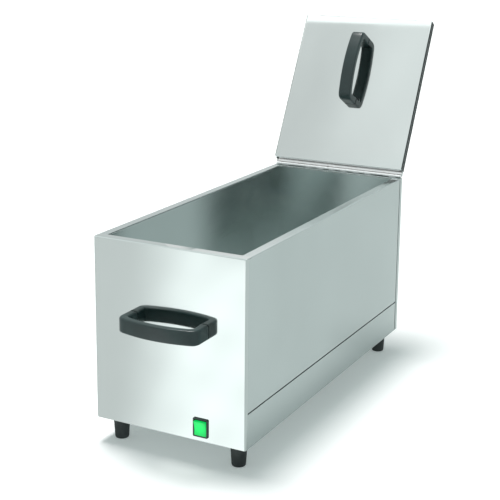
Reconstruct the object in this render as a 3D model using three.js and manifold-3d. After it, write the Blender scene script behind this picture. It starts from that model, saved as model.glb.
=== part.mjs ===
// Electric plate warmer: a long sheet-steel trough on four feet, with a two-leaf
// folding lid. Millimetres, +Z up, front towards -Y. Modelled with the front
// face of the cabinet at y = 0, then moved so that the origin is under the
// middle of the whole object with the lid folded open.
import * as THREE from 'three';
import { mergeVertices } from 'three/addons/utils/BufferGeometryUtils.js';
import Module from 'manifold-3d';

const wasm = await Module();
wasm.setup();

// ---------------------------------------------------------------- dimensions
const WIDTH = 268;            // cabinet across X
const LENGTH = 630;           // cabinet along Y
const BODY_H = 300;           // cabinet panel height
const FOOT_H = 40;            // clear height under the cabinet
const SHEET = 1.0;            // stainless sheet
const BEND_R = 2.4;           // outer bend radius of the casing
const RIM = 15;               // width of the flat rim round the well
const SKIRT_H = 56;           // height of the base tray's side skirts
const FRONT_WRAP = 7;         // front panel's side returns
const REAR_WRAP = 12;         // rear panel's side returns
const RETURN = 44;            // bottom returns of the front and rear panels, under the tray's end tabs
const GAP = 0.3;              // clearance between neighbouring pieces
const SEAM = 2.2;             // open joint between a side panel and the base tray's skirt
const REAR_SEAM = 2.4;        // open joint along the rear panel's side returns
const LIP_IN = 3.3;           // depth of the joggled lip behind the open joints
const WELL_FLOOR = 60;        // liner floor above the cabinet's bottom
const LEAF_T = 7.3;           // depth of a lid leaf, skin plus flanges
const LID_OPEN = 117.5;       // degrees from closed to the open stop
const HINGE_R = 3.0;          // rear piano hinge knuckle radius
const FOLD_R = 2.5;           // folding hinge knuckle radius
const KNUCKLE = 12.5;         // knuckle pitch of both piano hinges
const HANDLE_L = 140;         // bow handle, overall length
const HANDLE_OUT = 46;        // bow handle, stand-off of the bar's outer face
const HANDLE_H = 24;          // bow handle, height of the grip
const FOOT_INSET_X = 27;
const FOOT_INSET_Y = 30;
const SWITCH_X = 57;          // rocker switch, from the centre line
const SWITCH_UP = 22;         // rocker switch, above the cabinet's bottom
const ROCKER_TILT = 8;        // half of the rocker's travel, degrees
const INLET_X = -62;
const INLET_UP = 27;
const HANDLE_UP = 177;        // front and rear handle centre above the bottom
const LID_HANDLE_FROM_FOLD = 112; // lid handle centre from the fold edge
const ORIGIN_Y = -364.85;     // moves the model so its box is centred on Y = 0

const HALF = WIDTH / 2;
const Z0 = FOOT_H;
const ZT = FOOT_H + BODY_H;
const rad = (d) => d * Math.PI / 180;

// ---------------------------------------------------------------- materials
const mat = (color, roughness, metalness) => new THREE.MeshStandardMaterial({ color, roughness, metalness });
const STEEL = mat(0xc9d2d1, 0.18, 1.0);
const STEEL_INNER = mat(0xb4bfbd, 0.25, 1.0);
const STEEL_PIN = mat(0xaab4b3, 0.3, 1.0);
const PLASTIC = mat(0x2f3b3a, 0.45, 0.0);
const RUBBER = mat(0x232b2b, 0.7, 0.0);
const GREEN = mat(0x2fe07a, 0.3, 0.0);
const WOOL = mat(0xc9b983, 0.95, 0.0);
const HEATER = mat(0x6f6a66, 0.4, 0.9);
const CERAMIC = mat(0xe6e3da, 0.6, 0.0);
const BRASS = mat(0xc2a35a, 0.35, 1.0);
const ZINC = mat(0x9fa7a8, 0.4, 0.9);
const WIRE_BROWN = mat(0x6b3f22, 0.6, 0.0);
const WIRE_BLUE = mat(0x2b5fa8, 0.6, 0.0);
const WIRE_EARTH = mat(0x7fa83a, 0.6, 0.0);

// ------------------------------------------------------------------- helpers
function solid(geometry) {
  const g = geometry.clone();
  g.deleteAttribute('normal');
  g.deleteAttribute('uv');
  const m = mergeVertices(g, 1e-4);
  return new wasm.Manifold(new wasm.Mesh({
    numProp: 3,
    vertProperties: new Float32Array(m.attributes.position.array),
    triVerts: new Uint32Array(m.index.array),
  }));
}
function geometryOf(manifold) {
  const m = manifold.getMesh();
  const g = new THREE.BufferGeometry();
  g.setAttribute('position', new THREE.BufferAttribute(new Float32Array(m.vertProperties), 3));
  g.setIndex(new THREE.BufferAttribute(new Uint32Array(m.triVerts), 1));
  g.computeVertexNormals();
  return g;
}
const join = (list) => list.reduce((a, b) => a.add(b));
const cut = (a, list) => list.reduce((x, b) => x.subtract(b), a);
function box(x0, x1, y0, y1, z0, z1) {
  const g = new THREE.BoxGeometry(x1 - x0, y1 - y0, z1 - z0);
  g.translate((x0 + x1) / 2, (y0 + y1) / 2, (z0 + z1) / 2);
  return solid(g);
}
const shapeOf = (pts) => new THREE.Shape(pts.map(([a, b]) => new THREE.Vector2(a, b)));
function extruded(pts, depth, bevel) {
  return new THREE.ExtrudeGeometry(shapeOf(pts), { depth, bevelEnabled: !!bevel, ...(bevel || {}) });
}
// outline in (x, y), from z0 to z1
function prismZ(pts, z0, z1) {
  const g = extruded(pts, z1 - z0);
  g.translate(0, 0, z0);
  return solid(g);
}
// outline in (y, z), from x0 to x1
function prismX(pts, x0, x1) {
  const g = extruded(pts, x1 - x0);
  g.applyMatrix4(new THREE.Matrix4().set(0, 0, 1, x0, 1, 0, 0, 0, 0, 1, 0, 0, 0, 0, 0, 1));
  return solid(g);
}
// outline in (x, z), from y0 to y1
function prismY(pts, y0, y1) {
  const g = extruded(pts, y1 - y0);
  g.rotateX(Math.PI / 2);
  g.translate(0, y1, 0);
  return solid(g);
}
function roundRect(a0, a1, b0, b1, r, seg = 3, corners = [1, 1, 1, 1]) {
  const c = [[a1 - r, b0 + r, -90, a1, b0], [a1 - r, b1 - r, 0, a1, b1], [a0 + r, b1 - r, 90, a0, b1], [a0 + r, b0 + r, 180, a0, b0]];
  const pts = [];
  c.forEach(([ca, cb, start, sa, sb], i) => {
    if (!corners[i]) { pts.push([sa, sb]); return; }
    for (let k = 0; k <= seg; k++) {
      const t = rad(start + 90 * k / seg);
      pts.push([ca + r * Math.cos(t), cb + r * Math.sin(t)]);
    }
  });
  return pts;
}
function circle(ca, cb, r, seg) {
  return Array.from({ length: seg }, (_, k) => [ca + r * Math.cos(2 * Math.PI * (k + 0.5) / seg), cb + r * Math.sin(2 * Math.PI * (k + 0.5) / seg)]);
}
const rodX = (x0, x1, y, z, r, seg = 12) => prismX(circle(y, z, r, seg), x0, x1);
const rodY = (y0, y1, x, z, r, seg = 12) => prismY(circle(x, z, r, seg), y0, y1);
const rodZ = (z0, z1, x, y, r, seg = 12) => prismZ(circle(x, y, r, seg), z0, z1);
// tube along a smooth curve
function tube(points, r, sides = 8, steps = 24, tension = 0.5) {
  const curve = new THREE.CatmullRomCurve3(points.map((p) => new THREE.Vector3(...p)), false, 'catmullrom', tension);
  return solid(new THREE.ExtrudeGeometry(shapeOf(circle(0, 0, r, sides)), { steps, extrudePath: curve }));
}
// polyline with rounded corners, as a path of straight and curved pieces
function bentPath(points, radii) {
  const P = points.map((p) => new THREE.Vector3(...p));
  const path = new THREE.CurvePath();
  let from = P[0];
  for (let i = 1; i < P.length - 1; i++) {
    const r = radii[i - 1];
    const a = P[i].clone().add(P[i - 1].clone().sub(P[i]).setLength(r));
    const b = P[i].clone().add(P[i + 1].clone().sub(P[i]).setLength(r));
    path.add(new THREE.LineCurve3(from, a));
    path.add(new THREE.QuadraticBezierCurve3(a, P[i], b));
    from = b;
  }
  path.add(new THREE.LineCurve3(from, P[P.length - 1]));
  return path;
}

const root = new THREE.Group();
root.position.y = ORIGIN_Y;
const cabinet = new THREE.Group();
root.add(cabinet);
function add(group, name, shape, material, offset = [0, 0, 0]) {
  const g = shape.isBufferGeometry ? shape : geometryOf(shape);
  g.translate(-offset[0], -offset[1], -offset[2]);
  const mesh = new THREE.Mesh(g, material);
  mesh.name = name;
  group.add(mesh);
  return mesh;
}

// ------------------------------------------------------- cabinet casing (5)
// a closed rounded box, one sheet thick, cut into its separate panels
function casing(o) {
  const r = Math.max(BEND_R - o, 0.4);
  const plan = prismZ(roundRect(-HALF + o, HALF - o, o, LENGTH - o, r), Z0 + o, ZT - o);
  const side = prismX(roundRect(o, LENGTH - o, Z0 + o, ZT - o, r, 3, [0, 1, 1, 0]), -HALF, HALF);
  const front = prismY(roundRect(-HALF + o, HALF - o, Z0 + o, ZT - o, r, 3, [0, 1, 1, 0]), 0, LENGTH);
  return plan.intersect(side).intersect(front);
}
const shell = casing(0).subtract(casing(SHEET))
  .subtract(box(-HALF + RIM, HALF - RIM, RIM, LENGTH - RIM, ZT - 30, ZT + 5));

const handleZ = Z0 + HANDLE_UP;
const screwU = HANDLE_L / 2 - 6.5;
const switchZ = Z0 + SWITCH_UP;
const inletZ = Z0 + INLET_UP;

const frontRegion = join([
  box(-HALF - 1, HALF + 1, -1, FRONT_WRAP, Z0 - 1, ZT + 1),
  box(-HALF - 1, HALF + 1, -1, RIM, ZT - 1.4, ZT + 1),
  box(-HALF + 6, HALF - 6, -1, RETURN, Z0 - 1, Z0 + 1.1),
]);
let frontPanel = shell.intersect(frontRegion);
frontPanel = cut(frontPanel, [
  box(SWITCH_X - 12, SWITCH_X + 12, -3, 5, switchZ - 14.5, switchZ + 14.5),
  rodY(-3, 5, -screwU, handleZ, 2.7, 10),
  rodY(-3, 5, screwU, handleZ, 2.7, 10),
]);
add(cabinet, 'front_panel', frontPanel, STEEL);

const rearRegion = join([
  box(-HALF - 1, HALF + 1, LENGTH - REAR_WRAP, LENGTH + 1, Z0 - 1, ZT + 1),
  box(-HALF - 1, HALF + 1, LENGTH - RIM, LENGTH + 1, ZT - 1.4, ZT + 1),
  box(-HALF + 6, HALF - 6, LENGTH - RETURN, LENGTH + 1, Z0 - 1, Z0 + 1.1),
]);
let rearPanel = shell.intersect(rearRegion);
const rearSlots = [];
for (let i = -3; i <= 3; i++) rearSlots.push(box(i * 12 + 62 - 2, i * 12 + 62 + 2, LENGTH - 4, LENGTH + 4, Z0 + 14, Z0 + 42));
rearPanel = cut(rearPanel, [
  ...rearSlots,
  box(INLET_X - 14, INLET_X + 14, LENGTH - 4, LENGTH + 4, inletZ - 10.5, inletZ + 10.5),
  rodY(LENGTH - 4, LENGTH + 4, -screwU, handleZ, 2.7, 10),
  rodY(LENGTH - 4, LENGTH + 4, screwU, handleZ, 2.7, 10),
]);
add(cabinet, 'rear_panel', rearPanel, STEEL);

const seamZ = Z0 + SKIRT_H;
const sideEnd = LENGTH - REAR_WRAP - REAR_SEAM;
for (const [name, s] of [['side_panel_left', -1], ['side_panel_right', 1]]) {
  const lo = Math.min(s * (HALF - RIM), s * (HALF + 1));
  const hi = Math.max(s * (HALF - RIM), s * (HALF + 1));
  const region = join([
    box(lo, hi, FRONT_WRAP + GAP, sideEnd, seamZ + SEAM, ZT - 1.4 - 0.3),
    box(lo, hi, RIM + GAP, LENGTH - RIM - GAP, ZT - 3.4, ZT + 1),
  ]);
  const bx = (a, b, ...rest) => box(Math.min(s * a, s * b), Math.max(s * a, s * b), ...rest);
  // joggled lips that close the open joints from behind
  const lipOut = HALF - LIP_IN, lipIn = lipOut - 1;
  const panel = join([
    shell.intersect(region),
    bx(lipIn, HALF - 0.6, FRONT_WRAP + GAP, sideEnd, seamZ + SEAM, seamZ + SEAM + 1),
    bx(lipIn, lipOut, FRONT_WRAP + GAP, LENGTH - REAR_WRAP + 5, seamZ - 12, seamZ + SEAM + 1),
    bx(lipIn, HALF - 0.6, sideEnd - 1, sideEnd, seamZ + SEAM, ZT - 4),
    bx(lipIn, lipOut, sideEnd - 1, LENGTH - REAR_WRAP + 5, seamZ - 12, ZT - 4),
  ]);
  add(cabinet, name, panel, STEEL);
}

const footPos = [
  ['foot_front_left', -1, FOOT_INSET_Y], ['foot_front_right', 1, FOOT_INSET_Y],
  ['foot_rear_left', -1, LENGTH - FOOT_INSET_Y], ['foot_rear_right', 1, LENGTH - FOOT_INSET_Y],
].map(([n, s, y]) => [n, s * (HALF - FOOT_INSET_X), y]);
const trayRegion = box(-HALF - 1, HALF + 1, FRONT_WRAP + GAP, sideEnd, Z0 - 1, seamZ);
let tray = shell.intersect(trayRegion);
for (const m of [0, 1]) {
  const y = (a, b) => (m ? [LENGTH - b, LENGTH - a] : [a, b]);
  tray = tray.subtract(box(-HALF + 6 - GAP, HALF - 6 + GAP, ...y(0, RETURN + GAP), Z0 - 1, Z0 + 1.2));
  tray = join([tray,
    box(-118, 118, ...y(RETURN + GAP, RETURN + GAP + 1.2), Z0, Z0 + 2.3),
    box(-118, 118, ...y(3, RETURN + 1), Z0 + 1.3, Z0 + 2.3)]);
}
const footHoles = footPos.map(([, x, y]) => rodZ(Z0 - 2, Z0 + 4, x, y, 2.8, 10));
const vents = [];
for (let i = 0; i < 9; i++) {
  const y = 160 + i * 40;
  vents.push(box(-50, -10, y - 2.5, y + 2.5, Z0 - 2, Z0 + 3), box(10, 50, y - 2.5, y + 2.5, Z0 - 2, Z0 + 3));
}
tray = cut(tray, [...footHoles, ...vents]);
add(cabinet, 'base_tray', tray, STEEL);
// the feet's screws also clamp the panels' bottom returns
for (const name of ['front_panel', 'rear_panel']) {
  const m = cabinet.children.find((c) => c.name === name);
  m.geometry = geometryOf(cut(solid(m.geometry), footHoles));
}

// ------------------------------------------------ well liner, pan and floor (3)
const wellX = HALF - RIM - GAP;       // outside of the liner wall
const linerZ = Z0 + WELL_FLOOR - 2;   // underside of the well pan
const linerTop = ZT - SHEET - GAP;
const wellSleeve = (out, z0, z1) =>
  box(-wellX - out, wellX + out, RIM + GAP - out, LENGTH - RIM - GAP + out, z0, z1)
    .subtract(box(-wellX + 1, wellX - 1, RIM + GAP + 1, LENGTH - RIM - GAP - 1, z0 - 5, z1 + 5));
// four walls, turned outwards at the foot over the edges of the pan
const liner = join([wellSleeve(0, linerZ + 1 + GAP, linerTop), wellSleeve(5.5, linerZ + 1 + GAP, linerZ + 2 + GAP)]);
const flange = box(-HALF + 2.6, HALF - 2.6, 2.6, LENGTH - 2.6, linerTop - 1, linerTop)
  .subtract(box(-wellX + 0.5, wellX - 0.5, RIM + GAP + 0.5, LENGTH - RIM - GAP - 0.5, linerTop - 3, linerTop + 3));
const heatX = 58, heatY0 = 70, heatY1 = 550;
add(cabinet, 'liner_trough', liner.add(flange), STEEL_INNER);
// flat pan, spot welded to the foot of the walls, with the two heater lead holes
const pan = cut(box(-wellX - 5.5, wellX + 5.5, RIM + GAP - 5.5, LENGTH - RIM - GAP + 5.5, linerZ, linerZ + 1), [
  rodZ(linerZ - 2, linerZ + 3, -heatX, heatY0, 5.2, 10), rodZ(linerZ - 2, linerZ + 3, heatX, heatY0, 5.2, 10)]);
add(cabinet, 'well_pan', pan, STEEL_INNER);

const floorZ = linerZ + 26;
// a sheet channel standing on its two side flanges, with rows of oblong slots
const floorHalf = wellX - 2.2;
const floorShape = shapeOf([[-floorHalf, RIM + 2.6], [floorHalf, RIM + 2.6], [floorHalf, LENGTH - RIM - 2.6], [-floorHalf, LENGTH - RIM - 2.6]]);
for (let j = 0; j < 12; j++) {
  for (const x of [-72, 0, 72]) {
    const y = 67.5 + j * 46;
    floorShape.holes.push(new THREE.Path(roundRect(x - 24, x + 24, y - 5, y + 5, 5, 2).reverse().map(([u, v]) => new THREE.Vector2(u, v))));
  }
}
const floorTop = new THREE.ExtrudeGeometry(floorShape, { depth: 1, bevelEnabled: false });
floorTop.translate(0, 0, floorZ);
const floorPlate = join([
  solid(floorTop),
  box(-floorHalf, -floorHalf + 1, RIM + 2.6, LENGTH - RIM - 2.6, linerZ + 1 + GAP, floorZ + 0.5),
  box(floorHalf - 1, floorHalf, RIM + 2.6, LENGTH - RIM - 2.6, linerZ + 1 + GAP, floorZ + 0.5),
]);
add(cabinet, 'perforated_floor', floorPlate, STEEL_INNER);

// -------------------------------------------------------------- insulation (4)
const insZ0 = linerZ + 2 + 2 * GAP, insZ1 = linerTop - 1 - GAP;
add(cabinet, 'insulation_left', box(-HALF + LIP_IN + 1.4, -wellX - GAP, RIM + 3, LENGTH - RIM - 3, insZ0, insZ1), WOOL);
add(cabinet, 'insulation_right', box(wellX + GAP, HALF - LIP_IN - 1.4, RIM + 3, LENGTH - RIM - 3, insZ0, insZ1), WOOL);
add(cabinet, 'insulation_front', box(-112, 112, 5.2, RIM, insZ0, insZ1), WOOL);
add(cabinet, 'insulation_rear', box(-112, 112, LENGTH - RIM, LENGTH - 5.2, insZ0, insZ1), WOOL);

// -------------------------------------------------- heater and controls inside
const hz = linerZ + 14;
const heaterPath = bentPath([
  [-heatX, heatY0, linerZ - 16], [-heatX, heatY0, hz], [-heatX, heatY1, hz], [heatX, heatY1, hz], [heatX, heatY0, hz], [heatX, heatY0, linerZ - 16],
], [10, 50, 50, 10]);
const heater = solid(new THREE.ExtrudeGeometry(shapeOf(circle(0, 0, 3.5, 8)), { steps: 46, extrudePath: heaterPath }));
add(cabinet, 'heating_element', heater, HEATER);
for (const [name, y] of [['heater_bracket_front', 200], ['heater_bracket_rear', 440]]) {
  const arch = (x) => box(x - 6, x + 6, y - 5, y + 5, linerZ + 1.3, hz + 5.4).subtract(box(x - 4.2, x + 4.2, y - 6, y + 6, linerZ + 1, hz + 4.2));
  add(cabinet, name, join([arch(-heatX), arch(heatX), box(-heatX + 5.5, heatX - 5.5, y - 5, y + 5, linerZ + 1.3, linerZ + 2.3)]), ZINC);
}
for (const [name, x] of [['heater_bush_left', -heatX], ['heater_bush_right', heatX]]) {
  add(cabinet, name, rodZ(linerZ - 8, linerZ - 0.3, x, heatY0, 7, 12).subtract(rodZ(linerZ - 10, linerZ + 2, x, heatY0, 4.1, 12)), CERAMIC);
}
add(cabinet, 'thermostat', join([rodZ(linerZ - 6, linerZ - GAP, 0, 320, 12, 16), rodZ(linerZ - 14, linerZ - 5.9, 0, 320, 8.5, 16), box(-7, -4, 316.8, 323.2, linerZ - 22, linerZ - 13.9), box(4, 7, 316.8, 323.2, linerZ - 22, linerZ - 13.9)]), CERAMIC);
add(cabinet, 'thermal_cutout', join([rodZ(linerZ - 6, linerZ - GAP, 60, 320, 12, 16), rodZ(linerZ - 14, linerZ - 5.9, 60, 320, 8.5, 16), box(53, 56, 316.8, 323.2, linerZ - 22, linerZ - 13.9), box(64, 67, 316.8, 323.2, linerZ - 22, linerZ - 13.9)]), CERAMIC);
add(cabinet, 'terminal_block', cut(box(-84, -40, LENGTH - 80, LENGTH - 64, Z0 + 1.3, Z0 + 17), [-76, -62, -48].map((x) => rodZ(Z0 + 10, Z0 + 20, x, LENGTH - 72, 2.6, 8))), CERAMIC);
add(cabinet, 'earth_stud', join([rodZ(Z0 + 1.3, Z0 + 16, -96, LENGTH - 58, 2.5, 8), prismZ(circle(-96, LENGTH - 58, 5, 6), Z0 + 1.3, Z0 + 5.5)]), BRASS);

// mains inlet: a recessed three-pin socket in the rear panel
const inY = LENGTH;
let inlet = join([
  prismY(roundRect(INLET_X - 16, INLET_X + 16, inletZ - 13, inletZ + 13, 4, 2), inY + GAP, inY + GAP + 2.6),
  box(INLET_X - 13.5, INLET_X + 13.5, inY - 22, inY + GAP + 0.1, inletZ - 10, inletZ + 10),
]);
inlet = inlet.subtract(prismY(roundRect(INLET_X - 12, INLET_X + 12, inletZ - 8.2, inletZ + 8.2, 3, 2, [1, 1, 1, 1]), inY - 16, inY + 6));
inlet = join([inlet, ...[[-7, -1], [7, -1], [0, 3]].map(([x, z]) => box(INLET_X + x - 1, INLET_X + x + 1, inY - 16.5, inY - 5, inletZ + z - 2, inletZ + z + 2))]);
add(cabinet, 'power_inlet', inlet, PLASTIC);

// wires in the base compartment
const wz = Z0 + 9;
add(cabinet, 'wire_inlet_live', tube([[-69, inY - 23, inletZ - 4], [-70, inY - 33, inletZ - 8], [-76, inY - 48, wz + 2], [-76, inY - 63, wz]], 1.4, 6, 9), WIRE_BROWN);
add(cabinet, 'wire_inlet_neutral', tube([[-55, inY - 23, inletZ - 4], [-54, inY - 33, inletZ - 8], [-48, inY - 48, wz + 2], [-48, inY - 63, wz]], 1.4, 6, 9), WIRE_BLUE);
add(cabinet, 'wire_earth', tube([[-62, inY - 23, inletZ + 6], [-70, inY - 34, inletZ + 4], [-84, inY - 43, wz + 8], [-93, inY - 53.5, wz + 1]], 1.4, 6, 9), WIRE_EARTH);
add(cabinet, 'wire_switch_live', tube([[-76, inY - 81, wz], [-80, inY - 120, wz - 2], [-84, 320, wz - 2], [-60, 120, wz - 2], [30, 60, wz], [50, 40, switchZ - 4], [50, 26, switchZ - 6]], 1.4, 6, 22), WIRE_BROWN);
add(cabinet, 'wire_switch_heater', tube([[64, 26, switchZ + 4], [64, 40, switchZ + 4], [66, 60, linerZ - 26], [heatX, heatY0, linerZ - 17.5]], 1.4, 6, 9), WIRE_BROWN);
add(cabinet, 'wire_neutral', tube([[-48, inY - 81, wz], [-30, inY - 120, wz + 2], [-10, 420, wz + 6], [-5.5, 345, linerZ - 28], [-5.5, 321, linerZ - 24.0]], 1.4, 6, 14), WIRE_BLUE);
add(cabinet, 'wire_thermostat_link', tube([[5.5, 321, linerZ - 24.0], [12, 326, linerZ - 29], [44, 326, linerZ - 29], [54.5, 321, linerZ - 24.0]], 1.4, 6, 10), WIRE_BLUE);
add(cabinet, 'wire_heater_return', tube([[65.5, 319, linerZ - 24.0], [62, 290, linerZ - 30], [-20, 150, linerZ - 28], [-54, 90, linerZ - 24], [-heatX, heatY0, linerZ - 17.5]], 1.4, 6, 16), WIRE_BLUE);

// ------------------------------------------------------------- rocker switch
const sx = SWITCH_X, sz = switchZ;
let housing = join([
  prismY(roundRect(sx - 13, sx + 13, sz - 15.2, sz + 15.2, 1.6, 2), -2.3, -GAP),
  box(sx - 11.7, sx + 11.7, -GAP - 0.1, 22, sz - 14.2, sz + 14.2),
  box(sx - 8.6, sx - 5.4, 21.9, 25.2, sz - 9.4, sz - 2.6), box(sx + 5.4, sx + 8.6, 21.9, 25.2, sz + 0.6, sz + 7.4),
]);
housing = housing.subtract(box(sx - 10.5, sx + 10.5, -4, 9, sz - 12.9, sz + 12.9));
add(cabinet, 'switch_housing', housing, PLASTIC);
add(cabinet, 'switch_lamp', rodY(6.9, 8.7, sx, sz, 1.6, 8), GREEN);

const pivotY = 2.0;
const rockerProfile = [[-4.4, -11.6], [-4.0, -11.8], [1.0, -11.4], [4.4, -5], [5.6, 0], [4.4, 5], [1.0, 11.4], [-4.0, 11.8], [-4.4, 11.6], [-3.2, 6], [-2.8, 0], [-3.2, -6]];
const rockerGroup = new THREE.Group();
rockerGroup.position.set(sx, pivotY, sz);
rockerGroup.rotation.x = rad(ROCKER_TILT);
cabinet.add(rockerGroup);
const rockerSolid = prismX(rockerProfile.map(([y, z]) => [y - pivotY, z]), -10.1, 10.1);
add(rockerGroup, 'rocker', rockerSolid, GREEN);

// ------------------------------------------------------------------- feet (4)
// a screw runs up the middle of each foot, so the foot is a ring at every height
function footSolid() {
  const profile = [[2.9, 5], [5.5, 5], [5.5, 0], [9.6, 0], [11, 0.9], [11.4, 2.2], [13.4, FOOT_H - 6], [14, FOOT_H - 4.6], [14, FOOT_H - GAP], [2.9, FOOT_H - GAP], [2.9, 5]];
  const g = new THREE.LatheGeometry(profile.map(([x, y]) => new THREE.Vector2(x, y)), 18);
  g.rotateX(Math.PI / 2);
  return g;
}
for (const [name, x, y] of footPos) {
  const s = solid(footSolid());
  const f = add(cabinet, name, s, RUBBER);
  f.position.set(x, y, 0);
}
for (const [name, x, y] of footPos) {
  add(cabinet, name.replace('foot_', 'foot_screw_'), join([rodZ(1.6, 4.7, x, y, 4.6, 10), rodZ(4.6, Z0 + 6, x, y, 2.4, 8)]), ZINC);
}

// ---------------------------------------------------------------- bow handle
// outline in (u, v): u along the handle, v away from the panel
function handleSolid() {
  const L = HANDLE_L / 2, out = HANDLE_OUT, th = 12.5;
  const pts = [];
  const arcV = (u, top, sag, span) => top - sag * (u / span) ** 2;
  pts.push([-L, 0.3], [-L, 25]);
  pts.push([-L + 1.2, 30.2], [-L + 4.2, 33.9]);
  for (let k = 0; k <= 8; k++) { const u = -58 + 116 * k / 8; pts.push([u, arcV(u, out, 9.0, 58)]); }
  pts.push([L - 4.2, 33.9], [L - 1.2, 30.2], [L, 25], [L, 0.3]);
  pts.push([L - 13, 0.3], [L - 13, 17], [L - 15.5, 22]);
  for (let k = 0; k <= 6; k++) { const u = 48 - 96 * k / 6; pts.push([u, arcV(u, out - th, 7.6, 48)]); }
  pts.push([-L + 15.5, 22], [-L + 13, 17], [-L + 13, 0.3]);
  const b = 3.4;
  const g = new THREE.ExtrudeGeometry(shapeOf(pts), { depth: HANDLE_H - 2 * b, bevelEnabled: true, bevelThickness: b, bevelSize: 2.6, bevelOffset: -2.6, bevelSegments: 2 });
  g.translate(0, 0, -(HANDLE_H - 2 * b) / 2);
  let s = solid(g);
  // flat feet against the panel, and blind screw holes
  s = cut(s, [-1, 1].map((k) => prismY(circle(k * screwU, 0, 2.3, 8), -1, 18)));
  return s;
}
// k: -1 or 1, the screw's end; the head bears on the inner face of the sheet
function handleScrew(k) {
  return join([
    prismY(circle(k * screwU, 0, 4.4, 10), -SHEET - GAP - 2.6, -SHEET - GAP),
    prismY(circle(k * screwU, 0, 1.9, 8), -SHEET - GAP - 0.1, 15)]);
}
function placeHandle(group, name, pos, turnZ, turn) {
  const h = new THREE.Group();
  h.position.set(...pos);
  h.rotation.z = turnZ;
  group.add(h);
  const put = (n, s, m) => { const g = geometryOf(s); if (turn) g.applyMatrix4(turn); add(h, n, g, m); };
  put(name, handleSolid(), PLASTIC);
  put(name + '_screw_a', handleScrew(-1), ZINC);
  put(name + '_screw_b', handleScrew(1), ZINC);
}
placeHandle(cabinet, 'front_handle', [0, 0, handleZ], Math.PI);
placeHandle(cabinet, 'rear_handle', [0, LENGTH, handleZ], 0);

// ---------------------------------------------------------- rear piano hinge
const pinY = LENGTH + GAP + 0.9 - HINGE_R;
const pinZ = ZT + 0.4 + HINGE_R;
const nRear = 21, halfRear = nRear * KNUCKLE / 2;
const knuckleX = (n, i) => [-n * KNUCKLE / 2 + i * KNUCKLE + 0.2, -n * KNUCKLE / 2 + (i + 1) * KNUCKLE - 0.2];
function barrel(x0, x1, y, z, r, bore) {
  return rodX(x0, x1, y, z, r, 10).subtract(rodX(x0 - 1, x1 + 1, y, z, bore, 8));
}
let fixedLeaf = box(-halfRear + 0.2, halfRear - 0.2, LENGTH + GAP, LENGTH + GAP + 0.9, ZT - 16, ZT - 0.4);
for (let i = 0; i < nRear; i += 2) {
  const [a, b] = knuckleX(nRear, i);
  fixedLeaf = join([fixedLeaf, box(a, b, LENGTH + GAP, LENGTH + GAP + 0.9, ZT - 0.5, pinZ), barrel(a, b, pinY, pinZ, HINGE_R, 1.8)]);
}
add(cabinet, 'rear_hinge_fixed_leaf', fixedLeaf, STEEL);
add(cabinet, 'rear_hinge_pin', rodX(-halfRear, halfRear, pinY, pinZ, 1.45, 8), STEEL_PIN);

// ----------------------------------------------------------- lid stops (2)
const dirY = Math.sin(rad(LID_OPEN - 90)), dirZ = Math.cos(rad(LID_OPEN - 90));
const backOff = (LEAF_T + 0.4) - (pinZ - ZT) + 0.45;      // from the pin to the stop's face
const stopT = 2;
const stopY = LENGTH + GAP + 0.9 + GAP;
const along = (off, s) => [pinY + off * dirZ + s * dirY, pinZ - off * dirY + s * dirZ];
const atY = (off, y) => { const s = (y - pinY - off * dirZ) / dirY; return along(off, s); };
const stopProfile = [
  [stopY, ZT - 50], [stopY + stopT, ZT - 50], atY(backOff + stopT, stopY + stopT), along(backOff + stopT, 40), along(backOff, 40), atY(backOff, stopY)];
for (const [name, x] of [['lid_stop_left', -84], ['lid_stop_right', 84]]) {
  // a bent strip, joggled below the hinge leaf to sit on the rear panel
  add(cabinet, name, join([prismX(stopProfile, x - 11, x + 11), box(x - 11, x + 11, LENGTH + GAP, stopY + 0.1, ZT - 50, ZT - 20)]), STEEL);
}

// --------------------------------------------------------------- lid, closed
// Both leaves are shaped lying closed, then turned about their hinges.
const leafU = ZT + 0.4;                // underside of the leaves, closed
const leafTop = leafU + LEAF_T;
const LID_HALF = HALF - 1;
const foldY = LENGTH / 2 - 0.8, foldZ = leafU - 0.3;
const freeY = 9;                       // free edge of the front leaf, closed
const nFold = 17, halfFold = nFold * KNUCKLE / 2;

const rearLid = new THREE.Group();
rearLid.position.set(0, pinY, pinZ);
rearLid.rotation.x = -rad(LID_OPEN);
cabinet.add(rearLid);
const P = [0, pinY, pinZ];

function leafPan(y0, y1, openAtRear) {
  const r = 1.8;
  const outer = (o) => {
    const ya = y0 + o, yb = openAtRear ? y1 + (o ? 5 : 0) : y1 - o;
    const a = prismZ(roundRect(-LID_HALF + o, LID_HALF - o, ya, yb, Math.max(r - o, 0.5), 2, openAtRear ? [1, 0, 0, 1] : [1, 1, 1, 1]), o ? leafU - 5 : leafU, leafTop - o);
    const b = prismX(roundRect(ya, yb, leafU - (o ? 5 : 0), leafTop - o, Math.max(r - o, 0.5), 2, openAtRear ? [0, 0, 1, 0] : [0, 1, 1, 0]), -LID_HALF, LID_HALF);
    const c = prismY(roundRect(-LID_HALF + o, LID_HALF - o, leafU - (o ? 5 : 0), leafTop - o, Math.max(r - o, 0.5), 2, [0, 1, 1, 0]), y0 - 1, y1 + 6);
    return a.intersect(b).intersect(c);
  };
  return outer(0).subtract(outer(SHEET));
}
const foldRear = foldY + 1.4, foldFront = foldY - 1.4;   // end flanges beside the fold
const notch = (y) => box(-halfFold - 2, halfFold + 2, y - 2, y + 2, leafU - 1, foldZ + FOLD_R + 0.4);

let rearLeaf = leafPan(foldRear, pinY - 0.2, true);
rearLeaf = cut(rearLeaf, [
  notch(foldRear + 0.5),
  box(-LID_HALF - 1, LID_HALF + 1, pinY - 7, pinY + 10, leafU - 1, leafTop - SHEET - 1.4),
]);
add(rearLid, 'lid_rear_leaf', rearLeaf, STEEL, P);

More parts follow.
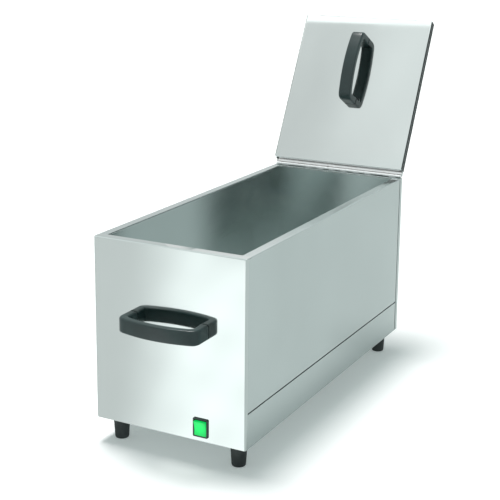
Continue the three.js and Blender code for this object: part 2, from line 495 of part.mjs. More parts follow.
let movingLeaf = box(-halfRear + 0.2, halfRear - 0.2, pinY - 27, pinY - 3.6, pinZ + HINGE_R - 0.9, pinZ + HINGE_R);
for (let i = 1; i < nRear; i += 2) {
  const [a, b] = knuckleX(nRear, i);
  movingLeaf = join([movingLeaf, box(a, b, pinY - 4, pinY, pinZ + HINGE_R - 0.9, pinZ + HINGE_R), barrel(a, b, pinY, pinZ, HINGE_R, 1.8)]);
}
add(rearLid, 'rear_hinge_moving_leaf', movingLeaf, STEEL, P);

let foldLeafRear = box(-halfFold + 0.2, halfFold - 0.2, foldY + 0.3, foldY + 1.1, foldZ + FOLD_R + 0.4, leafTop - SHEET - GAP);
for (let i = 0; i < nFold; i += 2) {
  const [a, b] = knuckleX(nFold, i);
  foldLeafRear = join([foldLeafRear, box(a, b, foldY + 0.3, foldY + 1.1, foldZ + 1.7, foldZ + FOLD_R + 0.6), barrel(a, b, foldY, foldZ, FOLD_R, 1.5)]);
}
add(rearLid, 'fold_hinge_rear_leaf', foldLeafRear, STEEL, P);
add(rearLid, 'fold_hinge_pin', rodX(-halfFold, halfFold, foldY, foldZ, 1.2, 8), STEEL_PIN, P);

const frontLid = new THREE.Group();
frontLid.position.set(0, foldY - pinY, foldZ - pinZ);
frontLid.rotation.x = Math.PI;
rearLid.add(frontLid);
const Q = [0, foldY, foldZ];

let frontLeaf = leafPan(freeY, foldFront, false);
const lidHandleY = foldFront - LID_HANDLE_FROM_FOLD;
frontLeaf = cut(frontLeaf, [
  notch(foldFront - 0.5),
  rodZ(leafTop - 3, leafTop + 3, 0, lidHandleY - screwU, 2.7, 10), rodZ(leafTop - 3, leafTop + 3, 0, lidHandleY + screwU, 2.7, 10),
  box(-LID_HALF - 1, -LID_HALF + 5, freeY - 1, freeY + 5, leafU - 1, leafU + 3), box(LID_HALF - 5, LID_HALF + 1, freeY - 1, freeY + 5, leafU - 1, leafU + 3),
]);
add(frontLid, 'lid_front_leaf', frontLeaf, STEEL, Q);
let foldLeafFront = box(-halfFold + 0.2, halfFold - 0.2, foldY - 1.1, foldY - 0.3, foldZ + FOLD_R + 0.4, leafTop - SHEET - GAP);
for (let i = 1; i < nFold; i += 2) {
  const [a, b] = knuckleX(nFold, i);
  foldLeafFront = join([foldLeafFront, box(a, b, foldY - 1.1, foldY - 0.3, foldZ + 1.7, foldZ + FOLD_R + 0.6), barrel(a, b, foldY, foldZ, FOLD_R, 1.5)]);
}
add(frontLid, 'fold_hinge_front_leaf', foldLeafFront, STEEL, Q);

// lid handle: runs lengthwise on the front leaf, near the fold
// u -> Y, v -> Z, grip height -> X
placeHandle(frontLid, 'lid_handle', [0, lidHandleY - foldY, leafTop - foldZ], 0, new THREE.Matrix4().set(0, 0, 1, 0, 1, 0, 0, 0, 0, 1, 0, 0, 0, 0, 0, 1));

export default root;
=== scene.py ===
# Looks of the plate warmer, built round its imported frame. Metres, +Z up, front towards -Y.
import math
import bmesh
import bpy
from mathutils import Matrix, Vector


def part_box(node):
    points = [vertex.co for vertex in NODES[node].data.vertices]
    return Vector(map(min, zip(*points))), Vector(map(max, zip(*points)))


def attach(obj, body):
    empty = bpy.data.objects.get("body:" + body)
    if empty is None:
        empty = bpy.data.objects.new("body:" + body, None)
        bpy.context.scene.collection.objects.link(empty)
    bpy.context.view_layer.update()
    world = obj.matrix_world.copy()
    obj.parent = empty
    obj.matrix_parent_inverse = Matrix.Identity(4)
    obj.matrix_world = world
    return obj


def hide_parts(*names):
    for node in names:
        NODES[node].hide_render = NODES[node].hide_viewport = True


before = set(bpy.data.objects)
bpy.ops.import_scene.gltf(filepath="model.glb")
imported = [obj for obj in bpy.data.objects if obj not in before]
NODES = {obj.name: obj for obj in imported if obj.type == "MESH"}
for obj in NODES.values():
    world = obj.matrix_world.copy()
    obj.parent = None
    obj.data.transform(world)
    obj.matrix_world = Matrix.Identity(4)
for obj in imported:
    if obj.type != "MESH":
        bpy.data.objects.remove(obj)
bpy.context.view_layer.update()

rad = math.radians
scene = bpy.context.scene

# ------------------------------------------------------------------ key sizes
MM = 0.001
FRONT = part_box("front_panel")[0].y                       # front face of the cabinet
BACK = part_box("rear_panel")[1].y                         # rear face
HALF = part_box("base_tray")[1].x
TOP = 340 * MM
PIN = Vector((0, (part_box("rear_hinge_pin")[0].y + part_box("rear_hinge_pin")[1].y) / 2,
              (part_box("rear_hinge_pin")[0].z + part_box("rear_hinge_pin")[1].z) / 2))
LEAN = rad(117.5)                                        # lid's turn from shut to open

# --------------------------------------------------------------------- camera
az, el, roll = rad(27.63), rad(13.05), rad(0.54)
back = Vector((math.sin(az) * math.cos(el), -math.cos(az) * math.cos(el), math.sin(el)))
fwd = -back
right0 = fwd.cross(Vector((0, 0, 1))).normalized()
up0 = right0.cross(fwd)
cam_r = right0 * math.cos(roll) + up0 * math.sin(roll)
cam_u = -right0 * math.sin(roll) + up0 * math.cos(roll)
cam_c = (0.8140 * cam_r + 1.2071 * cam_u - 6.426 * fwd) * 0.3 + Vector((-0.134, FRONT, 0.040))
cd = bpy.data.cameras.new("camera")
cam = bpy.data.objects.new("camera", cd)
scene.collection.objects.link(cam)
cam.matrix_world = Matrix((
    (cam_r.x, cam_u.x, back.x, cam_c.x),
    (cam_r.y, cam_u.y, back.y, cam_c.y),
    (cam_r.z, cam_u.z, back.z, cam_c.z),
    (0, 0, 0, 1)))
cd.sensor_fit = "HORIZONTAL"
cd.sensor_width = 36
cd.lens = 86.76
cd.shift_y = -0.12
cd.clip_start, cd.clip_end = 0.05, 60
scene.camera = cam


def ray(px, py):
    """Direction through a point of the 500 x 500 frame."""
    return ((px - 250) / 1205 * cam_r + (190 - py) / 1205 * cam_u + fwd).normalized()


# ------------------------------------------------------------------ node tools
def new_material(name):
    m = bpy.data.materials.new(name)
    m.use_nodes = True
    nt = m.node_tree
    nt.nodes.clear()
    out = nt.nodes.new("ShaderNodeOutputMaterial")
    b = nt.nodes.new("ShaderNodeBsdfPrincipled")
    nt.links.new(b.outputs[0], out.inputs[0])
    return m, nt, b


def coords(nt, scale=(1, 1, 1), turn=(0, 0, 0)):
    tc = nt.nodes.new("ShaderNodeTexCoord")
    mp = nt.nodes.new("ShaderNodeMapping")
    mp.inputs["Scale"].default_value = scale
    mp.inputs["Rotation"].default_value = turn
    nt.links.new(tc.outputs["Object"], mp.inputs["Vector"])
    return mp.outputs[0]


def noise(nt, vec, scale, detail=2.0, rough=0.5, distort=0.0):
    n = nt.nodes.new("ShaderNodeTexNoise")
    n.inputs["Scale"].default_value = scale
    n.inputs["Detail"].default_value = detail
    n.inputs["Roughness"].default_value = rough
    n.inputs["Distortion"].default_value = distort
    nt.links.new(vec, n.inputs["Vector"])
    return n.outputs["Fac"]


def remap(nt, val, a0, a1, b0, b1, smooth=False):
    m = nt.nodes.new("ShaderNodeMapRange")
    if smooth:
        m.interpolation_type = "SMOOTHSTEP"
    for k, v in zip(("From Min", "From Max", "To Min", "To Max"), (a0, a1, b0, b1)):
        m.inputs[k].default_value = v
    nt.links.new(val, m.inputs["Value"])
    return m.outputs[0]


def math_node(nt, op, a, b):
    m = nt.nodes.new("ShaderNodeMath")
    m.operation = op
    for i, v in enumerate((a, b)):
        if isinstance(v, (int, float)):
            m.inputs[i].default_value = v
        else:
            nt.links.new(v, m.inputs[i])
    return m.outputs[0]


def blend_colour(nt, fac, c0, c1):
    m = nt.nodes.new("ShaderNodeMix")
    m.data_type = "RGBA"
    nt.links.new(fac, m.inputs["Factor"])
    for sock, c in ((6, c0), (7, c1)):
        if isinstance(c, tuple):
            m.inputs[sock].default_value = (*c, 1)
        else:
            nt.links.new(c, m.inputs[sock])
    return m.outputs[2]


def bump(nt, height, distance, strength=1.0, after=None):
    b = nt.nodes.new("ShaderNodeBump")
    b.inputs["Strength"].default_value = strength
    b.inputs["Distance"].default_value = distance
    nt.links.new(height, b.inputs["Height"])
    if after is not None:
        nt.links.new(after, b.inputs["Normal"])
    return b.outputs[0]


# ------------------------------------------------------------------- materials
def sheet_steel(name, base, rough, grain_axis, wave=0.0005, haze=0.06, grain=0.5):
    """Bright rolled stainless sheet: a slow unevenness of the sheet, polishing grain along one axis, and wiped smears."""
    m, nt, b = new_material(name)
    b.inputs["Metallic"].default_value = 1.0
    plain = coords(nt)
    smear = noise(nt, coords(nt, (1.0, 1.0, 1.6), (0.3, 0.2, 0.5)), 6.5, 4, 0.55, 0.6)
    tone = noise(nt, plain, 3.1, 3, 0.5, 0.4)
    lo = tuple(c * 0.955 for c in base)
    hi = tuple(min(1, c * 1.03) for c in base)
    nt.links.new(blend_colour(nt, remap(nt, tone, 0.3, 0.7, 0, 1, True), lo, hi), b.inputs["Base Color"])
    stretch = [650.0, 650.0, 650.0]
    stretch[grain_axis] = 9.0
    fine = noise(nt, coords(nt, tuple(stretch)), 1.0, 3, 0.6)
    r = remap(nt, smear, 0.35, 0.72, rough - 0.02, rough + haze, True)
    r = math_node(nt, "ADD", r, remap(nt, fine, 0.3, 0.7, -0.02 * grain, 0.03 * grain))
    nt.links.new(r, b.inputs["Roughness"])
    n1 = bump(nt, noise(nt, plain, 3.6, 1.5, 0.45), wave)
    n2 = bump(nt, fine, 0.000012 * grain, 1.0, n1)
    nt.links.new(n2, b.inputs["Normal"])
    return m


def moulded(name, base, rough, grain=1400.0, depth=0.00003, dust=None, spread=0.05, spec=0.5):
    """Moulded plastic or rubber with its fine spark-eroded grain and a little handling shine."""
    m, nt, b = new_material(name)
    b.inputs["Specular IOR Level"].default_value = spec
    vec = coords(nt)
    tone = noise(nt, vec, 28, 4, 0.6)
    lo = tuple(c * 0.86 for c in base)
    hi = dust if dust else tuple(c * 1.18 for c in base)
    nt.links.new(blend_colour(nt, remap(nt, tone, 0.32, 0.74, 0, 1, True), lo, hi), b.inputs["Base Color"])
    nt.links.new(remap(nt, noise(nt, vec, 41, 3, 0.6), 0.3, 0.7, rough - spread, rough + spread), b.inputs["Roughness"])
    nt.links.new(bump(nt, noise(nt, vec, grain, 2, 0.6), depth), b.inputs["Normal"])
    return m


def lit_green(name, centre, spread, strength, colour=(0.010, 0.34, 0.075), glow=(0.004, 1.0, 0.175)):
    """Translucent green plastic lit from behind by a small lamp: brightest over the lamp."""
    m, nt, b = new_material(name)
    b.inputs["Roughness"].default_value = 0.34
    b.inputs["Specular IOR Level"].default_value = 0.25
    b.inputs["Emission Color"].default_value = (*glow, 1)
    tc = nt.nodes.new("ShaderNodeTexCoord")
    d = nt.nodes.new("ShaderNodeVectorMath")
    d.operation = "DISTANCE"
    nt.links.new(tc.outputs["Object"], d.inputs[0])
    d.inputs[1].default_value = centre
    fall = remap(nt, d.outputs["Value"], 0.0, spread, strength, strength * 0.55, True)
    nt.links.new(fall, b.inputs["Emission Strength"])
    cell = noise(nt, coords(nt), 900, 2, 0.5)
    nt.links.new(blend_colour(nt, cell, tuple(c * 0.9 for c in colour), tuple(min(1, c * 1.1) for c in colour)), b.inputs["Base Color"])
    nt.links.new(bump(nt, cell, 0.00001), b.inputs["Normal"])
    return m


def plated(name, base, rough, spangle=60.0, tint=None, metallic=1.0):
    m, nt, b = new_material(name)
    b.inputs["Metallic"].default_value = metallic
    vor = nt.nodes.new("ShaderNodeTexVoronoi")
    vor.inputs["Scale"].default_value = spangle
    nt.links.new(coords(nt), vor.inputs["Vector"])
    bw = nt.nodes.new("ShaderNodeRGBToBW")
    nt.links.new(vor.outputs["Color"], bw.inputs[0])
    lo = tuple(c * 0.82 for c in base)
    nt.links.new(blend_colour(nt, bw.outputs[0], lo, tint or tuple(min(1, c * 1.12) for c in base)), b.inputs["Base Color"])
    nt.links.new(remap(nt, noise(nt, coords(nt), 180, 4, 0.6), 0.3, 0.7, rough - 0.07, rough + 0.1), b.inputs["Roughness"])
    nt.links.new(bump(nt, noise(nt, coords(nt), 700, 3, 0.6), 0.00004), b.inputs["Normal"])
    return m


def wool(name):
    m, nt, b = new_material(name)
    b.inputs["Sheen Weight"].default_value = 0.35
    fibre = noise(nt, coords(nt, (1, 1, 0.35), (0.4, 0.2, 0.7)), 900, 5, 0.7, 1.4)
    clump = noise(nt, coords(nt), 60, 4, 0.6)
    c = blend_colour(nt, remap(nt, clump, 0.3, 0.7, 0, 1), (0.42, 0.34, 0.16), (0.78, 0.70, 0.45))
    c = blend_colour(nt, remap(nt, fibre, 0.35, 0.7, 0, 0.6), c, (0.88, 0.83, 0.64))
    nt.links.new(c, b.inputs["Base Color"])
    nt.links.new(remap(nt, fibre, 0.3, 0.7, 0.85, 1.0), b.inputs["Roughness"])
    n1 = bump(nt, clump, 0.0012)
    nt.links.new(bump(nt, fibre, 0.0004, 1.0, n1), b.inputs["Normal"])
    return m


def insulated_wire(name, base):
    m, nt, b = new_material(name)
    v = coords(nt)
    t = noise(nt, v, 150, 3, 0.6)
    nt.links.new(blend_colour(nt, remap(nt, t, 0.3, 0.7, 0, 1), tuple(c * 0.8 for c in base), tuple(min(1, c * 1.2) for c in base)), b.inputs["Base Color"])
    nt.links.new(remap(nt, t, 0.3, 0.7, 0.34, 0.52), b.inputs["Roughness"])
    nt.links.new(bump(nt, noise(nt, v, 1200, 2, 0.5), 0.00002), b.inputs["Normal"])
    return m


STEEL = (0.535, 0.590, 0.580)
MATS = {
    "front_sheet": sheet_steel("steel_casing_front", STEEL, 0.075, 2, wave=0.0004, haze=0.04, grain=0.4),
    "casing_x": sheet_steel("steel_casing_side", (0.50, 0.562, 0.555), 0.20, 2, wave=0.0003, haze=0.04, grain=0.6),
    "lid": sheet_steel("steel_casing_lid", STEEL, 0.07, 2, wave=0.0003, haze=0.04, grain=0.4),
    "liner": sheet_steel("steel_liner_sheet", (0.60, 0.665, 0.655), 0.19, 1, wave=0.0006, haze=0.07),
    "slotted": sheet_steel("steel_liner_floor", (0.66, 0.715, 0.705), 0.28, 1, wave=0.0002, haze=0.10),
    # near-white base, far brighter than steel: painted highlight that makes the hinge band read white
    "hinge": sheet_steel("steel_hinge_leaf", (0.97, 0.99, 0.985), 0.38, 0, wave=0.0, haze=0.06),
    "black_plastic": moulded("black_plastic_grain", (0.013, 0.032, 0.032), 0.33, grain=2200.0, depth=0.000012, spec=0.40, spread=0.03),
    "foot_rubber": moulded("foot_rubber_grain", (0.020, 0.028, 0.028), 0.62, 900, 0.00006, dust=(0.040, 0.050, 0.050), spec=0.35),
    "zinc_screws": plated("zinc_screw_plate", (0.60, 0.62, 0.62), 0.32, 900.0, tint=(0.70, 0.71, 0.66)),
    "zinc_sheet": plated("aluminised_sheet", (0.58, 0.60, 0.60), 0.40, 95.0),
    "mineral_wool": wool("mineral_wool_board"),
    "heater_sheath": plated("heater_sheath_tint", (0.20, 0.18, 0.17), 0.42, 30.0, tint=(0.34, 0.26, 0.20)),
    "white_ceramic": moulded("steatite", (0.80, 0.78, 0.71), 0.38, 1100, 0.00002, dust=(0.88, 0.86, 0.80)),
    "brass_stud": plated("brass", (0.78, 0.57, 0.24), 0.30, 400.0, tint=(0.86, 0.66, 0.30)),
    "wire_brown": insulated_wire("wire_brown_silicone", (0.20, 0.085, 0.035)),
    "wire_blue": insulated_wire("wire_blue_silicone", (0.05, 0.14, 0.42)),
    "wire_green": insulated_wire("wire_green_silicone", (0.22, 0.42, 0.06)),
    "green_rocker": lit_green("green_rocker_lit", (0.0555, FRONT - 0.002, 0.062), 0.019, 0.75),
    "green_lamp": lit_green("green_lamp_lit", (0.057, FRONT + 0.008, 0.062), 0.01, 2.5),
    "pin_metal": plated("inlet_pin_plate", (0.72, 0.70, 0.62), 0.28, 500.0),
}


# ------------------------------------------------------------------ mesh tools
def piece(name, bm_or_data, mat, body, replaces=(), sharp=35.0, bevel=None):
    me = bpy.data.meshes.new(name)
    if isinstance(bm_or_data, bmesh.types.BMesh):
        bmesh.ops.recalc_face_normals(bm_or_data, faces=bm_or_data.faces)
        bm_or_data.to_mesh(me)
        bm_or_data.free()
    else:
        v, f = bm_or_data
        bm = bmesh.new()
        vs = [bm.verts.new(p) for p in v]
        for q in f:
            try:
                bm.faces.new([vs[i] for i in q])
            except ValueError:
                pass
        bmesh.ops.remove_doubles(bm, verts=bm.verts, dist=1e-7)
        bmesh.ops.recalc_face_normals(bm, faces=bm.faces)
        bm.to_mesh(me)
        bm.free()
    me.shade_smooth()
    me.set_sharp_from_angle(angle=rad(sharp))
    o = bpy.data.objects.new(name, me)
    scene.collection.objects.link(o)
    me.materials.append(mat)
    if bevel:
        b = o.modifiers.new("bevel", "BEVEL")
        b.width, b.segments = bevel, 2
        b.limit_method, b.angle_limit = "ANGLE", rad(30)
        b.harden_normals = True
    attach(o, body)
    if replaces:
        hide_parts(*replaces)
    return o


def merge(parts):
    V, F = [], []
    for v, f in parts:
        k = len(V)
        V += v
        F += [[i + k for i in q] for q in f]
    return V, F


def moved(part, matrix):
    v, f = part
    return [matrix @ Vector(p) for p in v], f


def loft(loops, close_ends=True):
    """Quads between equal loops of points; the end loops are capped."""
    n = len(loops[0])
    V = [Vector(p) for l in loops for p in l]
    F = []
    for i in range(len(loops) - 1):
        for j in range(n):
            a, b = i * n + j, i * n + (j + 1) % n
            F.append([a, b, b + n, a + n])
    if close_ends:
        F.append(list(range(n))[::-1])
        F.append([(len(loops) - 1) * n + j for j in range(n)])
    return V, F


def lathe(profile, seg, closed=False):
    """Turns (radius, z) points about Z. Points on the axis close the shape."""
    V, F = [], []
    rings = []
    for r, z in profile:
        if r < 1e-9:
            rings.append([len(V)])
            V.append(Vector((0, 0, z)))
        else:
            rings.append(list(range(len(V), len(V) + seg)))
            V += [Vector((r * math.cos(2 * math.pi * k / seg), r * math.sin(2 * math.pi * k / seg), z)) for k in range(seg)]
    pairs = list(zip(rings, rings[1:])) + ([(rings[-1], rings[0])] if closed else [])
    for a, b in pairs:
        for k in range(seg):
            k2 = (k + 1) % seg
            if len(a) == 1 and len(b) == 1:
                continue
            if len(a) == 1:
                F.append([a[0], b[k2], b[k]])
            elif len(b) == 1:
                F.append([a[k], a[k2], b[0]])
            else:
                F.append([a[k], a[k2], b[k2], b[k]])
    return V, F


def rounded_rect(a, b, r, seg):
    """Half sizes a, b; corner radius r; counter-clockwise."""
    pts = []
    for cx, cy, s in ((a - r, b - r, 0), (-a + r, b - r, 90), (-a + r, -b + r, 180), (a - r, -b + r, 270)):
        for k in range(seg + 1):
            t = rad(s + 90 * k / seg)
            pts.append((cx + r * math.cos(t), cy + r * math.sin(t)))
    return pts


def resample(points, n):
    """n points evenly spaced along a smooth curve through points (Catmull-Rom)."""
    P = [Vector(p) for p in points]
    fine = []
    for i in range(len(P) - 1):
        p0, p1, p2, p3 = P[max(i - 1, 0)], P[i], P[i + 1], P[min(i + 2, len(P) - 1)]
        for k in range(24):
            t = k / 24
            fine.append(0.5 * ((2 * p1) + (p2 - p0) * t + (2 * p0 - 5 * p1 + 4 * p2 - p3) * t * t + (3 * p1 - p0 - 3 * p2 + p3) * t ** 3))
    fine.append(P[-1])
    d = [0.0]
    for a, b in zip(fine, fine[1:]):
        d.append(d[-1] + (b - a).length)
    out, j = [], 0
    for i in range(n):
        s = d[-1] * i / (n - 1)
        while j < len(d) - 2 and d[j + 1] < s:
            j += 1
        w = (s - d[j]) / max(d[j + 1] - d[j], 1e-12)
        out.append(fine[j].lerp(fine[j + 1], min(max(w, 0), 1)))
    return out


def sheet_finish(node, mat, width=0.00022, planar=True):
    """A kept frame node: its coplanar triangles joined, its edges eased and shaded smooth over the bends."""
    o = NODES[node]
    me = o.data
    ca = me.attributes.get("custom_normal")
    if ca is not None:
        me.attributes.remove(ca)
    me.shade_smooth()
    me.materials.clear()
    me.materials.append(mat)
    w = o.modifiers.new("weld", "WELD")
    w.merge_threshold = 1e-6
    if planar:
        d = o.modifiers.new("planar", "DECIMATE")
        d.decimate_type = "DISSOLVE"
        d.angle_limit = rad(0.6)
    if width:
        b = o.modifiers.new("bevel", "BEVEL")
        b.width, b.segments = width, 2
        b.limit_method, b.angle_limit = "ANGLE", rad(38)
        b.use_clamp_overlap = True
    n = o.modifiers.new("normals", "WEIGHTED_NORMAL")
    n.mode = "FACE_AREA"
    n.weight = 90
    n.keep_sharp = False
    return o


def round_finish(node, mat, levels=2):
    """A kept round node, such as a wire: welded and subdivided so that it is truly round."""
    o = NODES[node]
    me = o.data
    ca = me.attributes.get("custom_normal")
    if ca is not None:
        me.attributes.remove(ca)
    me.shade_smooth()
    me.materials.clear()
    me.materials.append(mat)
    w = o.modifiers.new("weld", "WELD")
    w.merge_threshold = 1e-6
    s = o.modifiers.new("round", "SUBSURF")
    s.levels = s.render_levels = levels
    return o


# ---------------------------------------------------------------- kept frame
for n in ("front_panel",):
    sheet_finish(n, MATS["front_sheet"])
for n in ("rear_panel", "side_panel_left", "side_panel_right", "base_tray", "lid_stop_left", "lid_stop_right"):
    sheet_finish(n, MATS["casing_x"])
for n in ("lid_rear_leaf", "lid_front_leaf"):
    sheet_finish(n, MATS["lid"])
for n in ("liner_trough", "well_pan"):
    sheet_finish(n, MATS["liner"])
for n in ("fold_hinge_rear_leaf", "fold_hinge_front_leaf"):
    sheet_finish(n, MATS["hinge"], 0.0001)
for n in ("insulation_left", "insulation_right", "insulation_front", "insulation_rear"):
    sheet_finish(n, MATS["mineral_wool"], 0.0008)
for n in ("heater_bracket_front", "heater_bracket_rear"):
    sheet_finish(n, MATS["zinc_sheet"], 0.00018)
for n in ("heater_bush_left", "heater_bush_right", "thermostat", "thermal_cutout", "terminal_block"):
    sheet_finish(n, MATS["white_ceramic"], 0.0003)
sheet_finish("earth_stud", MATS["brass_stud"], 0.0002)
sheet_finish("switch_housing", MATS["black_plastic"], 0.00035)
sheet_finish("switch_lamp", MATS["green_lamp"], 0.0002)
for n in ("wire_inlet_live", "wire_switch_live", "wire_switch_heater"):
    round_finish(n, MATS["wire_brown"])
for n in ("wire_inlet_neutral", "wire_neutral", "wire_thermostat_link", "wire_heater_return"):
    round_finish(n, MATS["wire_blue"])
round_finish("wire_earth", MATS["wire_green"])
round_finish("heating_element", MATS["heater_sheath"])


# ---------------------------------------------------------------- bow handles
def bow_handle():
    """Moulded bow handle. u along it (X), v off the panel (Y), w across the grip (Z). Base at v = 0.3 mm."""
    # centre line, half thickness and half height of the grip along it
    st = []
    for v in (0.3, 0.9, 2.2, 4.5, 8, 13, 18, 22):
        flare = 1.3 * max(0.0, 1 - v / 9) ** 2
        st.append((-63.2 + flare * 0.55 - 0.2 * v / 22, v, 0, 6.6 + flare * 0.8 - (0.7 if v < 0.5 else 0), 12.0 - (0.9 if v < 0.5 else 0)))
    corner = [(-62.9, 25.6), (-61.2, 28.7), (-57.8, 30.9), (-53.0, 32.6)]
    tc = [6.7, 7.0, 6.75, 6.4]
    for (u, v), t in zip(corner, tc):
        st.append((u, v, 0, t, 12.0))
    for k in range(1, 14):
        u = -53 + 53 * k / 14
        st.append((u, 39.6 - 7.0 * (u / 53) ** 2, 0, 6.3 - 0.05 * (1 - (u / 53) ** 2), 12.0))
    st.append((0.0, 39.6, 0, 6.25, 12.0))
    full = st + [(-u, v, 0, t, h) for u, v, _, t, h in reversed(st[:-1])]
    line = resample([Vector((u, v, 0)) for u, v, _, _, _ in full], 121)
    # interpolate thickness by distance along the stations
    d = [0.0]
    for a, b in zip(full, full[1:]):
        d.append(d[-1] + math.hypot(b[0] - a[0], b[1] - a[1]))
    def at(s):
        for i in range(len(d) - 1):
            if d[i + 1] >= s:
                w = (s - d[i]) / max(d[i + 1] - d[i], 1e-9)
                return [full[i][q] + (full[i + 1][q] - full[i][q]) * w for q in (3, 4)]
        return [full[-1][3], full[-1][4]]
    loops = []
    N = len(line)
    for i, p in enumerate(line):
        t = (line[min(i + 1, N - 1)] - line[max(i - 1, 0)]).normalized()
        if i in (0, N - 1):
            t = Vector((0, 1 if i == 0 else -1, 0))
        nrm = Vector((-t.y, t.x, 0))                      # outward from the ring
        ht, hh = at(d[-1] * i / (N - 1))
        sec = rounded_rect(ht, hh, 3.1, 6)
        loop = []
        for a, b in sec:
            if abs(b) < 0.01:
                a += 0.12 * (1 if a > 0 else -1)
            loop.append((p + nrm * a + Vector((0, 0, b))) * MM)
        # the parting-line ridge above acts only on section points at w = 0, and this rounded section has none, so no
        # ridge is made
        loops.append(loop)
    return loft(loops)


handle_mesh = bow_handle()
hz = (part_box("front_handle")[0].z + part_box("front_handle")[1].z) / 2
turn_front = Matrix.Translation((0, FRONT, hz)) @ Matrix.Rotation(math.pi, 4, "Z")
turn_rear = Matrix.Translation((0, BACK, hz))
piece("front_handle_grip", moved(handle_mesh, turn_front), MATS["black_plastic"], "cabinet", ("front_handle",), 50)
piece("rear_handle_grip", moved(handle_mesh, turn_rear), MATS["black_plastic"], "cabinet", ("rear_handle",), 50)
# the lid's handle runs up the leaf; its base plane faces the leaf's outer side
d_up = Vector((0, math.cos(LEAN) * -1, math.sin(LEAN)))
n_front = Vector((0, -math.sin(LEAN), -math.cos(LEAN)))
lo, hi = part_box("lid_handle")
lid_base = Vector((0, 0.34631, 0.52637))
cross = d_up.cross(n_front)
lid_turn = Matrix((
    (d_up.x, n_front.x, cross.x, lid_base.x),
    (d_up.y, n_front.y, cross.y, lid_base.y),
    (d_up.z, n_front.z, cross.z, lid_base.z),
    (0, 0, 0, 1)))
piece("lid_handle_grip", moved(handle_mesh, lid_turn), MATS["black_plastic"], "lid_front", ("lid_handle",), 50)


# ----------------------------------------------------------------------- feet
def foot():
    p = [(2.9, 5), (4.9, 5), (5.4, 4.7), (5.6, 4.2), (5.6, 0.5), (5.9, 0.1), (6.2, 0), (9.7, 0), (10.4, 0.25), (10.9, 0.8), (11.15, 1.6),
         (11.35, 2.6), (11.5, 4.0), (12.0, 12), (12.6, 22), (13.1, 31), (13.25, 33.2), (13.2, 34.0), (13.3, 34.6), (13.75, 35.1), (14.0, 35.8),
         (14.0, 38.9), (13.8, 39.5), (13.4, 39.7), (2.9, 39.7)]
    return lathe([(r * MM, z * MM) for r, z in p], 64, closed=True)


foot_mesh = foot()
for n in ("foot_front_left", "foot_front_right", "foot_rear_left", "foot_rear_right"):
    lo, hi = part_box(n)
    c = (lo + hi) / 2
    piece(n + "_moulding", moved(foot_mesh, Matrix.Translation((c.x, c.y, 0))), MATS["foot_rubber"], "cabinet", (n,), 38)


# ---------------------------------------------------------------------- screws
def pan_head(head_r, head_h, shank_r, shank_l, seg=40):
    """Pan-head screw with a cross recess, head down (-Z), shank up."""
    V, F = [], []
    rings = [0.0, 0.12, 0.24, 0.36, 0.48, 0.6, 0.72, 0.82, 0.9, 0.96, 1.0]
    idx = []
    for q in rings:
        ring = []
        for k in range(seg if q > 0 else 1):
            a = 2 * math.pi * k / seg
            r = q * head_r
            x, y = r * math.cos(a), r * math.sin(a)
            z = -head_h * math.sqrt(max(0, 1 - (q * 0.93) ** 2.6))
            arm = 0.20 * head_r
            inside = (abs(x) < arm and abs(y) < 0.62 * head_r) or (abs(y) < arm and abs(x) < 0.62 * head_r)
            if inside:
                z += head_h * 0.62 * (1 - q / 0.75 if q < 0.75 else 0) ** 0.5
            ring.append(len(V))
            V.append(Vector((x, y, z)))
        idx.append(ring)
    idx.append([len(V) + k for k in range(seg)])
    V += [Vector((head_r * math.cos(2 * math.pi * k / seg), head_r * math.sin(2 * math.pi * k / seg), 0)) for k in range(seg)]
    for r, z in ((shank_r, 0), (shank_r, shank_l - 0.4 * MM), (shank_r * 0.75, shank_l)):
        idx.append([len(V) + k for k in range(seg)])
        V += [Vector((r * math.cos(2 * math.pi * k / seg), r * math.sin(2 * math.pi * k / seg), z)) for k in range(seg)]
    for a, b in zip(idx, idx[1:]):
        for k in range(seg):
            k2 = (k + 1) % seg
            if len(a) == 1:
                F.append([a[0], b[k2], b[k]])
            else:
                F.append([a[k], a[k2], b[k2], b[k]])
    F.append(idx[-1][:])
    return V, F


for n in ("foot_screw_front_left", "foot_screw_front_right", "foot_screw_rear_left", "foot_screw_rear_right"):
    lo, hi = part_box(n)
    c = (lo + hi) / 2
    s = pan_head(4.55 * MM, 2.9 * MM, 2.35 * MM, hi.z - 4.6 * MM)
    piece(n + "_head", moved(s, Matrix.Translation((c.x, c.y, 4.6 * MM))), MATS["zinc_screws"], "cabinet", (n,), 30)
handle_screw = pan_head(4.4 * MM, 2.5 * MM, 1.85 * MM, 16.2 * MM)
for handle, turn, body in (("front_handle", turn_front, "cabinet"), ("rear_handle", turn_rear, "cabinet"), ("lid_handle", lid_turn, "lid_front")):
    for end, k in (("a", -1), ("b", 1)):
        # shank along +v, head behind the sheet
        local = Matrix.Translation((k * 63.5 * MM, -1.35 * MM, 0)) @ Matrix.Rotation(rad(-90), 4, "X")
        piece(f"{handle}_screw_{end}_head", moved(handle_screw, turn @ local), MATS["zinc_screws"], body, (f"{handle}_screw_{end}",), 30)


